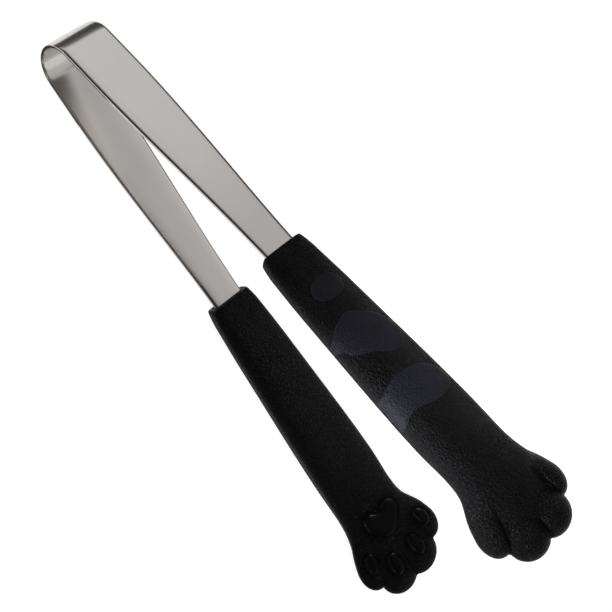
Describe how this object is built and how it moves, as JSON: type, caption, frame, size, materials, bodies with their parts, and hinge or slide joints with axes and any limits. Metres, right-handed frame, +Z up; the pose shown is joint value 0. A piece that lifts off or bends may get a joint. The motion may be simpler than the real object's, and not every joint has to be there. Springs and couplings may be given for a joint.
{
  "type": "barbecue tongs",
  "caption": "Spring tongs bent from one steel strip, with a soft sleeve shaped as a cat's paw over the end of each arm, padded on the gripping side.",
  "frame": {"origin": "middle of the lowest plane of the tongs as they lie open on a table, at half length and half width", "axes": "+X from the bow to the toes, +Y across the strip, +Z up from the table"},
  "size_m": [0.2278, 0.0398, 0.0952],
  "materials": {
    "stainless_steel": "satin stainless steel",
    "sleeve_silicone": "black silicone with a fine sand texture",
    "patch_silicone": "matte dark grey silicone",
    "pad_silicone": "smooth black silicone"
  },
  "bodies": {
    "lower_arm": {"lower_spring_arm": "stainless_steel", "lower_paw_sleeve": "sleeve_silicone", "lower_front_patch": "patch_silicone", "lower_middle_patch": "patch_silicone", "lower_wrist_patch": "patch_silicone", "lower_palm_pad": "pad_silicone", "lower_left_side_toe_pad": "pad_silicone", "lower_right_side_toe_pad": "pad_silicone", "lower_left_middle_toe_pad": "pad_silicone", "lower_right_middle_toe_pad": "pad_silicone"},
    "upper_arm": {"upper_spring_arm": "stainless_steel", "upper_paw_sleeve": "sleeve_silicone", "upper_front_patch": "patch_silicone", "upper_middle_patch": "patch_silicone", "upper_wrist_patch": "patch_silicone", "upper_palm_pad": "pad_silicone", "upper_left_side_toe_pad": "pad_silicone", "upper_right_side_toe_pad": "pad_silicone", "upper_left_middle_toe_pad": "pad_silicone", "upper_right_middle_toe_pad": "pad_silicone"}
  },
  "joints": [
    {"name": "bow_flex", "type": "hinge", "parent": "lower_arm", "child": "upper_arm", "pos_m": [-0.1129, 0, 0.0097], "axis": [0, 1, 0], "range_deg": [-4, 20.5], "stiffness_Nm_per_rad": 4, "springref_deg": -1.03}
  ]
}
